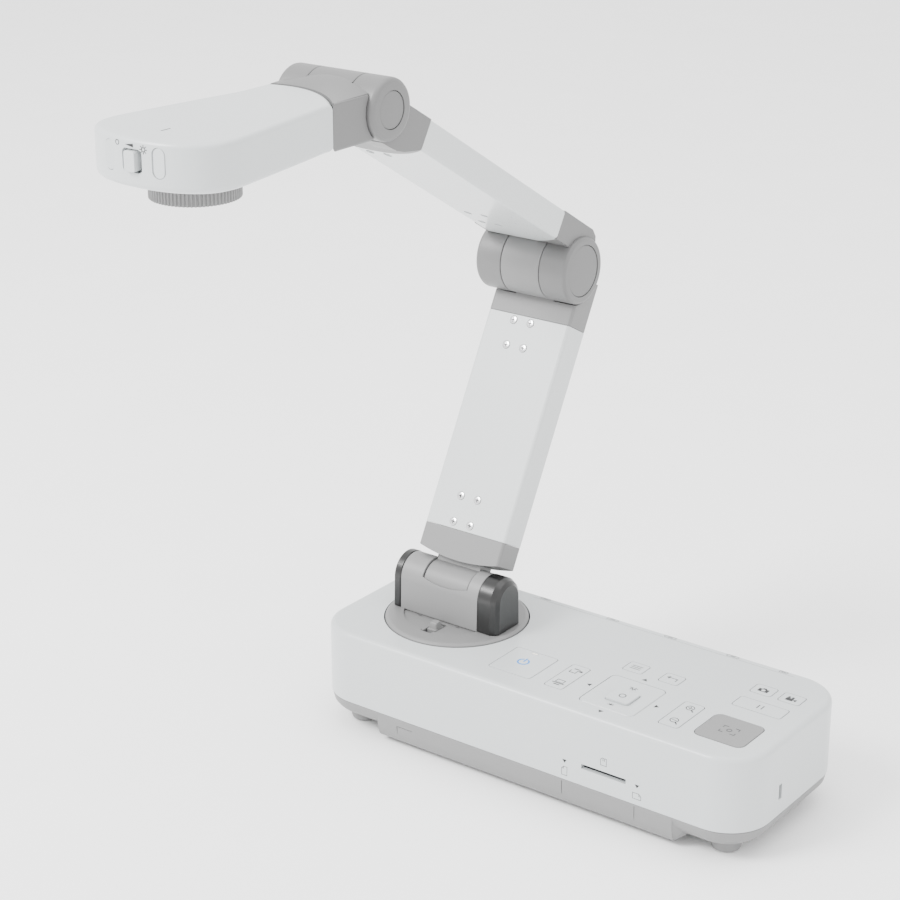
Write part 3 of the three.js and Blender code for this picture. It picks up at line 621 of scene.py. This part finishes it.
def turntable():
    profile = [(0, 53.7), (38.5, 53.7), (38.5, 57.2), (38.3, 57.7), (37.6, 58.35), (36.9, 58.7),
               (36.2, DISC_TOP), (0, DISC_TOP)]
    disc = turned("turntable_plate", profile, (0, TURN_Y, 0), TURN, sides=160)
    front = TILT_Y - TOWER_R
    moon = [(x, y) for x, y in arc(-2, TURN_Y, 27, 205, 335, 40) if y < front + 1]
    recess = prism("c", moon, DISC_TOP - 0.9, DISC_TOP + 1, TURN)
    slot_hole = block("c", -3.1, 3.7, -26.4, -12.4, DISC_TOP - 3.4, DISC_TOP + 1, TURN)
    finish(soften(cut(disc, recess, slot_hole), angle=24), MID_GREY, "turntable",
           ["turntable_disc"])

    body = sideways("tower_shell", tower_outline(), TOWER_LEFT, TOWER_RIGHT, TURN)
    rim = TILT_Z + 4.6
    lip = [(-TOWER_SLOT, rim), *[(x, rim - 2.2 * (1 - (x / TOWER_SLOT) ** 2)) for x in range(-13, 14, 2)],
           (TOWER_SLOT, rim), (TOWER_SLOT, 110), (-TOWER_SLOT, 110)]
    cutters = [barrel("c", 11.2, -TOWER_SLOT, TOWER_SLOT, TILT_Y, TILT_Z, TURN),
               front_cut("c", lip, -40, TILT_Y + 2, TURN),
               block("c", -TOWER_SLOT, TOWER_SLOT, TILT_Y, 30, CAVITY_FLOOR, 110, TURN)]
    finish(soften(cut(body, *cutters), 0.25, angle=30), GREY, "turntable", ["tower_body"])

    cap_left = sideways("tower_cap_left_shell", tower_outline(0.3), CAP_LEFT, TOWER_LEFT - 0.1, TURN)
    finish(soften(cap_left, 0.9, angle=30, segments=4), BLACK, "turntable",
           ["tower_cap_left"])
    tapers = ((TOWER_RIGHT + 0.1, 0.3), (30.2, 0.3), (32.8, -1.1), (CAP_RIGHT, -3.2))
    rings = [[(x, y, z) for y, z in tower_outline(grow)] for x, grow in tapers]
    cap_right = stack("tower_cap_right_shell", rings, TURN)
    finish(soften(cap_right, 0.6, angle=20, segments=3), BLACK, "turntable",
           ["tower_cap_right"])

    knob_base = loft("swivel_lock_knob", [(DISC_TOP - 3, rounded(5.8, 7.5, 0.8, 4, (0.3, -17.75))),
                                          (DISC_TOP - 0.8, rounded(5.8, 7.5, 0.8, 4, (0.3, -17.75)))], TURN)
    grip = loft("c", [(DISC_TOP - 1, rounded(5, 5.5, 0.9, 5, (0.3, -17.75))),
                      (DISC_TOP + 2.0, rounded(4.4, 4.7, 0.9, 5, (0.3, -17.75))),
                      (DISC_TOP + 2.6, rounded(3.6, 3.9, 0.9, 5, (0.3, -17.75)))], TURN)
    finish(soften(join(knob_base, grip), 0.2), GREY, "swivel_lock", ["swivel_lock"])
    for name, x in (("left", -15.0), ("right", 9.8)):
        place = TURN @ Matrix.Translation((x, -11.0, DISC_TOP - 0.88))
        mark(f"lock_dash_{name}", stroke([(-1.0, 0), (1.0, 0)], 0.4), place, INK_AND_RECESS_SHADE, "turntable")


# ---- arm ----------------------------------------------------------------------------------------
def section(y0, y1, shrink=0.0, r=1.8, steps=5):
    return rounded(2 * (ARM_HALF - shrink), y1 - y0 - 2 * shrink, r, steps, (0, (y0 + y1) / 2))


def screw(name, x, z, y, place, body):
    """Cross-head screw set in the shell, its head on the -Y side."""
    turn = place @ Matrix.Translation((x, y, z)) @ FACING_FRONT
    head = turned(name, [(0, -0.7), (2.05, -0.7), (2.05, 0.0), (1.8, 0.1), (0.9, 0.18), (0, 0.2)], (0, 0, 0),
                  turn, sides=32)
    cross = [block("c", -1.15, 1.15, -0.28, 0.28, -0.45, 1, turn),
             block("c", -0.28, 0.28, -1.15, 1.15, -0.45, 1, turn)]
    finish(soften(cut(head, *cross), angle=30), CHROME, body)
    # The dark bars at the bottom of the cross are painted shade in the recess.
    seat = turn @ Matrix.Translation((0, 0, -0.43))
    bars = stroke([(-1.1, 0), (1.1, 0)], 0.5) + stroke([(0, -1.1), (0, 1.1)], 0.5)
    mark(name + "_recess", bars, seat, INK_AND_RECESS_SHADE, body)


def lower_arm():
    front, back, start, end = (LOWER[k] for k in ("front", "back", "from", "to"))
    shell = prism("lower_arm_cover", section(front, back), start, end, LOWER_ARM)
    seats = []
    rows = (start + 3.6, start + 17.8, end - 17, end - 3.2)
    for z in rows:
        for x in (-8.6, 2.2):
            seats.append(turned("c", [(0, -0.9), (SCREW_R, -0.9), (SCREW_R, 1), (0, 1)], (0, 0, 0),
                                LOWER_ARM @ Matrix.Translation((x, front, z))
                                @ Matrix.Rotation(math.radians(90), 4, "X"), sides=32))
    finish(soften(cut(shell, *seats), 0.3, angle=28), WHITE_ARM, "lower_arm",
           ["lower_arm_shell"])
    for i, z in enumerate(rows):
        for k, x in enumerate((-8.6, 2.2)):
            screw(f"lower_screw_{i}_{k}", x, z, front - 0.1, LOWER_ARM, "lower_arm")

    foot = prism("lower_arm_foot_cap", section(front, back, 0.05), 12.35, start - 0.15, LOWER_ARM)
    chin = [(x, 12.35 + 3.4 * (x / ARM_HALF) ** 2) for x in range(-26, 27, 2)]
    under = [(-30, 15.8), *chin, (30, 15.8), (30, 0), (-30, 0)]
    foot = cut(foot, front_cut("c", under, front - 2, back + 2, LOWER_ARM))
    tongue = prism("c", section(front + 1.5, back - 1.5, 12, 0.5), 6, start - 3, LOWER_ARM)
    foot = join(foot, tongue, barrel("c", 10.9, -14.2, 14.2, 0, 0, LOWER_ARM, 0.4))
    finish(soften(foot, 0.35, angle=30), MID_GREY, "lower_arm", ["lower_arm_foot"])

    head = prism("lower_arm_head_cap", section(front, back, 0.05), end + 0.15, 174, LOWER_ARM)
    knuckle = ELBOW_KNUCKLE
    scoops = [barrel("c", ELBOW_R + 0.9, s * knuckle if s > 0 else -40, 40 if s > 0 else -knuckle, ELBOW_Y,
                     ELBOW_Z, LOWER_ARM) for s in (1, -1)]
    head = join(cut(head, *scoops), barrel("c", ELBOW_R, -knuckle, knuckle, ELBOW_Y, ELBOW_Z, LOWER_ARM, 0.3))
    finish(soften(head, 0.3, angle=30), MID_GREY, "lower_arm", ["lower_arm_head"])


def end_disc(name, r, side, half, y, z, place, body, node):
    """Flat disc let into a barrel's end, with a thin ring of shadow round it."""
    x_out, x_in = side * half, side * (half - 1.0)
    profile = [(0, x_in), (r, x_in), (r, x_out - side * 0.45), (r - 0.35, x_out - side * 0.25),
               (0, x_out - side * 0.25)]
    disc = turned(name, profile, (0, y, z), place, axis="X")
    finish(soften(disc, angle=30), DARK_GREY, body, [node])


def fork_knuckle(name, r, inner, half, side, y, z, place, seat_r, bevel):
    """One outer barrel of a hinge: bevelled outer edge and a shallow seat for the disc."""
    profile = [(0, inner), (r - 0.3, inner), (r, inner + 0.3), (r, half - bevel)]
    profile += [(r - bevel + bevel * math.cos(a), half - bevel + bevel * math.sin(a))
                for a in (math.radians(t) for t in (22, 45, 68))]
    profile += [(r - bevel, half), (seat_r + 0.2, half), (seat_r + 0.2, half - 1.2), (0, half - 1.2)]
    return turned(name, [(rr, side * x) for rr, x in profile], (0, y, z), place, axis="X")


def upper_arm():
    under, over, start, end = (UPPER[k] for k in ("under", "over", "from", "to"))

    def apron(z, y0, y1, shift=0.0):
        """The zone of the underside between a bowed edge and the straight end at z."""
        edge = [(x / 10, z + shift - ARC_RISE * (1 - ((x / 10 + 12) / 38) ** 2))
                for x in range(-246, 247, 12)]
        return front_cut("c", [*edge, (24.6, z + 0.4), (-24.6, z + 0.4)], y0, y1, UPPER_ARM)

    knuckles = [(ELBOW_R + 0.6, 0, 0), (WRIST_R + 0.6, WRIST_Y, WRIST_Z)]
    shell = prism("upper_arm_cover", section(under, over), start, end, UPPER_ARM)
    shell = join(shell, apron(start, under, under + 1.2))
    shell = cut(shell, apron(end, under - 1, under + 1.3), *[barrel("c", r, -30, 30, y, z, UPPER_ARM)
                                                             for r, y, z in knuckles])
    seats = []
    spots = [(x, z) for z, xs in ((start + 5.8, (-17.6, -7)), (start + 20.6, (-17.4, -7)),
                                  (end - 20.6, (-18.6, -7.8)), (end - 20, (-18.2, -7.9))) for x in xs]
    for x, z in spots:
        seats.append(turned("c", [(0, -1.2), (SCREW_R, -1.2), (SCREW_R, 1), (0, 1)], (0, 0, 0),
                            UPPER_ARM @ Matrix.Translation((x, under, z))
                            @ Matrix.Rotation(math.radians(90), 4, "X"), sides=32))
    finish(soften(cut(shell, *seats), 0.3, angle=28), WHITE_ARM, "upper_arm",
           ["upper_arm_shell"])
    for i, (x, z) in enumerate(spots):
        screw(f"upper_screw_{i}", x, z, under + 0.9, UPPER_ARM, "upper_arm")

    inner = ELBOW_KNUCKLE + GAP
    cap_side = [(under, start - 0.15), (under, 4), (under + 5, -3.5), (over - 5, -6.5), (over - 2.2, -5),
                (over, -0.5), (over, start - 0.15)]
    cap = sideways("elbow_fork_cap", cap_side, -ARM_HALF, ARM_HALF, UPPER_ARM)
    cap = cut(cap, barrel("c", ELBOW_R + 0.5, -inner, inner, 0, 0, UPPER_ARM),
              apron(start, under - 1, under + 1.3, -0.15))
    parts = [fork_knuckle("c", ELBOW_R, inner, ELBOW_HALF, s, 0, 0, UPPER_ARM, 13.7, 1.9) for s in (1, -1)]
    finish(soften(join(cap, *parts), 0.3, angle=30), DARK_GREY, "upper_arm",
           ["elbow_fork"])
    for side, word in ((-1, "left"), (1, "right")):
        end_disc(f"elbow_end_{word}", 13.6, side, ELBOW_HALF, 0, 0, UPPER_ARM, "upper_arm",
                 f"elbow_disc_{word}")

    inner = WRIST_KNUCKLE + GAP
    fork_side = [(under, end + 0.15), (2.6, 174), (0.9, 180), (0.5, 186), (0.3, WRIST_Z - 4),
                 (WRIST_Y, WRIST_Z), (over - 0.4, 186), (over - 0.2, 182), (over, end + 0.15)]
    fork = sideways("wrist_fork_cap", fork_side, -ARM_HALF, ARM_HALF, UPPER_ARM)
    fork = join(fork, apron(end, under, under + 1.2, 0.15))
    fork = cut(fork, barrel("c", WRIST_R + 0.6, -inner, inner, WRIST_Y, WRIST_Z, UPPER_ARM),
               block("c", -inner, inner, -10, under, end + 1, 215, UPPER_ARM))
    parts = [fork_knuckle("c", WRIST_R, inner, WRIST_HALF, s, WRIST_Y, WRIST_Z, UPPER_ARM, 8.8, 2.6)
             for s in (1, -1)]
    finish(soften(join(fork, *parts), 0.3, angle=30), DARK_GREY, "upper_arm",
           ["wrist_fork"])
    for side, word in ((-1, "left"), (1, "right")):
        end_disc(f"wrist_end_{word}", 8.7, side, WRIST_HALF, WRIST_Y, WRIST_Z, UPPER_ARM, "upper_arm",
                 f"wrist_disc_{word}")


# ---- camera head --------------------------------------------------------------------------------
FLANK = [(26.2, -39.5), (26.7, -45), (28.3, -54), (31.3, -73), (34.3, -93), (36.0, -105), (36.4, -113),
         (34.6, -121.5), (29.4, -128.3), (20.5, -133.5), (10, -136.1), (0, -136.7)]


def neck_y(x):
    """The edge between the collar and the white cover."""
    return -18.25 - 20 * ((x + 12) / 38) ** 2


def neck_edge(shift, limit=26.2):
    return [(x, neck_y(x) + shift) for x in [-limit, *range(-24, 26, 3), limit]]


def head_outline():
    right = through(FLANK, 5)
    left = [(-x, y) for x, y in right[:-1]]
    near_left = [(-26.2, y) for y in (-24, -31)]
    return [*near_left, *left, *reversed(right), *reversed(neck_edge(-0.12))]


def nose_y(x):
    flank = through(FLANK, 5)
    pairs = zip(flank[-2::-1], flank[:0:-1])
    for (x0, y0), (x1, y1) in pairs:
        if x1 <= abs(x) <= x0:
            return y0 + (y1 - y0) * (x0 - abs(x)) / (x0 - x1)
    return flank[-1][1]


def crown(rows=12, columns=26, rise=4.6, half=25.0):
    """Gentle rise of the collar's top, from the neck edge up to the hinge barrel."""
    sheets = []
    for top in (True, False):
        for j in range(rows + 1):
            v = j / rows
            for i in range(columns + 1):
                x = half * (2 * i / columns - 1)
                y = neck_y(x) + 0.3 + v * (-4 - neck_y(x) - 0.3)
                lift = rise * (1 - (x / (half + 1)) ** 2) * math.sin(v * math.pi / 2)
                sheets.append((x, y, HEAD_TOP - 0.06 + lift if top else HEAD_TOP - 4))
    wide, layer = columns + 1, (rows + 1) * (columns + 1)
    faces = []
    for j in range(rows):
        for i in range(columns):
            a = j * wide + i
            b = layer + a
            faces += [(a, a + 1, a + wide + 1, a + wide), (b, b + wide, b + wide + 1, b + 1)]
    loop = ([i for i in range(columns)] + [j * wide + columns for j in range(rows)]
            + [rows * wide + i for i in range(columns, 0, -1)] + [j * wide for j in range(rows, 0, -1)])
    faces += [(a, layer + a, layer + b, b) for a, b in zip(loop, [*loop[1:], loop[0]])]
    return make("c", sheets, faces, HEAD)


SENSOR_X = (-13.8, 13.8)
SLIDER = {"x": 0.0, "w": 11, "z": -0.5, "h": 10}


def head():
    plan = head_outline()
    top = [(HEAD_TOP - 2.6 + 2.6 * math.sin(a), 2.6 * (1 - math.cos(a))) for a in
           (math.radians(18 * k) for k in range(6))]
    low = [(HEAD_BOTTOM + 3.2 - 3.2 * math.sin(a), 3.2 * (1 - math.cos(a))) for a in
           (math.radians(90 - 18 * k) for k in range(6))]
    cover = loft("head_cover_shell", [(z, inset(plan, d)) for z, d in [*low, *top]], HEAD)
    slot = rounded(SLIDER["w"], SLIDER["h"], 2.0, 5, (SLIDER["x"], SLIDER["z"]))
    cuts = [front_cut("c", slot, -140, -130, HEAD),
            turned("c", [(0, HEAD_BOTTOM - 1), (20.6, HEAD_BOTTOM - 1), (20.6, HEAD_BOTTOM + 0.4),
                         (16, HEAD_BOTTOM + 0.4), (16, 0), (0, 0)], (0, DIAL_Y, 0), HEAD)]
    for x in SENSOR_X:
        y = nose_y(x)
        cuts.append(front_cut("c", rounded(6.4, 13.2, 3.15, 8, (x, 0)), y - 6, y + 1.0, HEAD))
    finish(soften(cut(cover, *cuts), angle=28), WHITE, "head", ["head_cover", "head_floor"])
    for x, word in zip(SENSOR_X, ("left", "right")):
        y = nose_y(x)
        tilt = HEAD @ Matrix.Translation((x, y, 0)) @ Matrix.Rotation(math.atan2(x, 220), 4, "Z")
        window = front_cut(f"sensor_pane_{word}", rounded(6.1, 12.9, 3.0, 8), 0.12, 2.2, tilt)
        finish(soften(window, 0.2, angle=30), WHITE, "head", [f"sensor_window_{word}"])

    collar_plan = [(ARM_HALF, -8), (-ARM_HALF, -8), *neck_edge(0.12, 26.0)]
    collar_layers = [(HEAD_BOTTOM, inset(collar_plan, 0.8)), (HEAD_BOTTOM + 0.9, collar_plan),
                     (HEAD_TOP - 1.2, collar_plan), (HEAD_TOP - 0.3, inset(collar_plan, 0.5)),
                     (HEAD_TOP, inset(collar_plan, 1.3))]
    collar = loft("head_collar_shell", collar_layers, HEAD)
    collar = join(collar, crown())
    inner = WRIST_KNUCKLE
    collar = cut(collar, barrel("c", WRIST_R + 0.6, -40, -inner, 0, 0, HEAD),
                 barrel("c", WRIST_R + 0.6, inner, 40, 0, 0, HEAD))
    collar = join(collar, barrel("c", WRIST_R, -inner, inner, 0, 0, HEAD, 0.3))
    finish(soften(collar, angle=30), DARK_GREY, "head", ["head_collar"])

    wall = nose_y(SLIDER["x"])
    x, z = SLIDER["x"], SLIDER["z"]
    knob = front_cut("light_slider_knob", rounded(6, 8.8, 1.2, 5, (x, z)), wall - 1.8, wall + 5, HEAD)
    flange = front_cut("c", rounded(16, 13, 0.6, 3, (x, z)), wall + 4.6, wall + 6, HEAD)
    finish(soften(join(knob, flange), 0.5, angle=30, segments=4), WHITE, "light_slider",
           ["light_slider"])

    # Rotation ring with fine upright ribs.
    ribs, depth = 72, 0.55
    outline = []
    for k in range(ribs):
        for part, r in ((0.0, DIAL_R - depth), (0.2, DIAL_R - depth), (0.4, DIAL_R), (0.8, DIAL_R)):
            a = 2 * math.pi * (k + part) / ribs
            outline.append((r * math.cos(a), DIAL_Y + r * math.sin(a)))
    ring = loft("rotation_ring_grip", [(DIAL_BOTTOM, inset(outline, 0.15)), (DIAL_BOTTOM + 0.3, outline),
                                       (HEAD_BOTTOM + 0.1, outline)], HEAD)
    ring = join(ring, turned("c", [(13, HEAD_BOTTOM - 1), (15.4, HEAD_BOTTOM - 1), (15.4, HEAD_BOTTOM + 3.4),
                                   (13, HEAD_BOTTOM + 3.4)], (0, DIAL_Y, 0), HEAD))
    bore_profile = [(0, DIAL_BOTTOM - 1), (14.6, DIAL_BOTTOM - 1), (13, DIAL_BOTTOM + 1.2), (13, 0), (0, 0)]
    bore = turned("c", bore_profile, (0, DIAL_Y, 0), HEAD)
    finish(soften(cut(ring, bore), angle=30), GREY, "rotation_ring", ["rotation_ring"])


def head_marks():
    top = HEAD @ Matrix.Translation((0, 0, HEAD_TOP))
    point = top @ Matrix.Translation((1.0, -117, 0)) @ Matrix.Rotation(math.radians(90), 4, "Z")
    mark("view_dash", stroke([(-2.4, 0), (2.4, 0)], 0.7), point, INK_AND_RECESS_SHADE, "head")

    def on_nose(x, z):
        y = nose_y(x) - 0.05
        slope = math.atan2(nose_y(x + 1) - nose_y(x - 1), 2)
        return HEAD @ Matrix.Translation((x, y, z)) @ Matrix.Rotation(slope, 4, "Z") @ FACING_FRONT

    mark("light_off", ring_mark(0, 0, 1.0, 0.26), on_nose(-8.2, 6.2), INK_AND_RECESS_SHADE, "head")
    wedge = [[(-2.3, 0), (2.3, -0.75), (2.3, 0.75)]]
    dots = [d for k in (-1.2, 0, 1.2) for d in disc_mark(k, -1.8, 0.25)]
    mark("light_wedge", wedge + dots, on_nose(-1.2, 6.0), INK_AND_RECESS_SHADE, "head")
    mark("light_full", sun(0, 0, 0.85), on_nose(6.6, 5.0), INK_AND_RECESS_SHADE, "head")


def dress_carried_over():
    """Frame nodes carried over as they are take the material of their slot."""
    replaced = {"base_cover", "base_tray"}
    for entry in frame["record"]["subparts"]:
        node = frame["nodes"][entry["node"]]
        if node.name in replaced:
            continue
        node.data.materials.clear()
        node.data.materials.append(SLOT_MATERIAL[entry["material_slot"]])


# ---- the object ---------------------------------------------------------------------------------
dress_carried_over()
base_shells()
foot_pads()
keys()
key_gap_shades()
key_marks()
case_marks()
ports()
turntable()
lower_arm()
upper_arm()
head()
head_marks()


# ---- floor, light and camera --------------------------------------------------------------------
def studio():
    floor = make("floor", [(-6, -6, 0), (6, -6, 0), (6, 6, 0), (-6, 6, 0)], [(0, 1, 2, 3)],
                 Matrix.Translation((0, 0, -0.0002)))
    floor.data.materials.append(moulded("floor", (0.96, 0.96, 0.96), 0.6, 0.0))
    world = bpy.data.worlds.new("studio")
    world.use_nodes = True
    world.node_tree.nodes["Background"].inputs["Color"].default_value = (1, 1, 1, 1)
    world.node_tree.nodes["Background"].inputs["Strength"].default_value = 2.3
    bpy.context.scene.world = world
    for name, place, aim, width, power in (
        ("key", (-0.9, -1.3, 1.7), (0, 0, 0.15), 0.9, 75),
        ("top", (0.2, 0.3, 2.0), (0, 0, 0), 1.6, 16),
        ("fill", (1.6, -0.4, 0.9), (0, 0, 0.1), 1.0, 3),
    ):
        light = bpy.data.lights.new(name, "AREA")
        light.size = width
        light.energy = power
        lamp = bpy.data.objects.new(name, light)
        lamp.location = place
        lamp.rotation_euler = (Vector(aim) - Vector(place)).to_track_quat("-Z", "Y").to_euler()
        bpy.context.scene.collection.objects.link(lamp)


def viewpoint():
    lens = bpy.data.cameras.new("view")
    lens.lens = 88.91
    lens.sensor_width = 36
    lens.clip_end = 20
    camera = bpy.data.objects.new("view", lens)
    place = BASE @ Vector((564.0, -862.9, 570.3))
    camera.location = place
    camera.rotation_euler = (math.radians(90 - 21.246), 0, math.radians(36.679))
    bpy.context.scene.collection.objects.link(camera)
    bpy.context.scene.camera = camera


studio()
viewpoint()
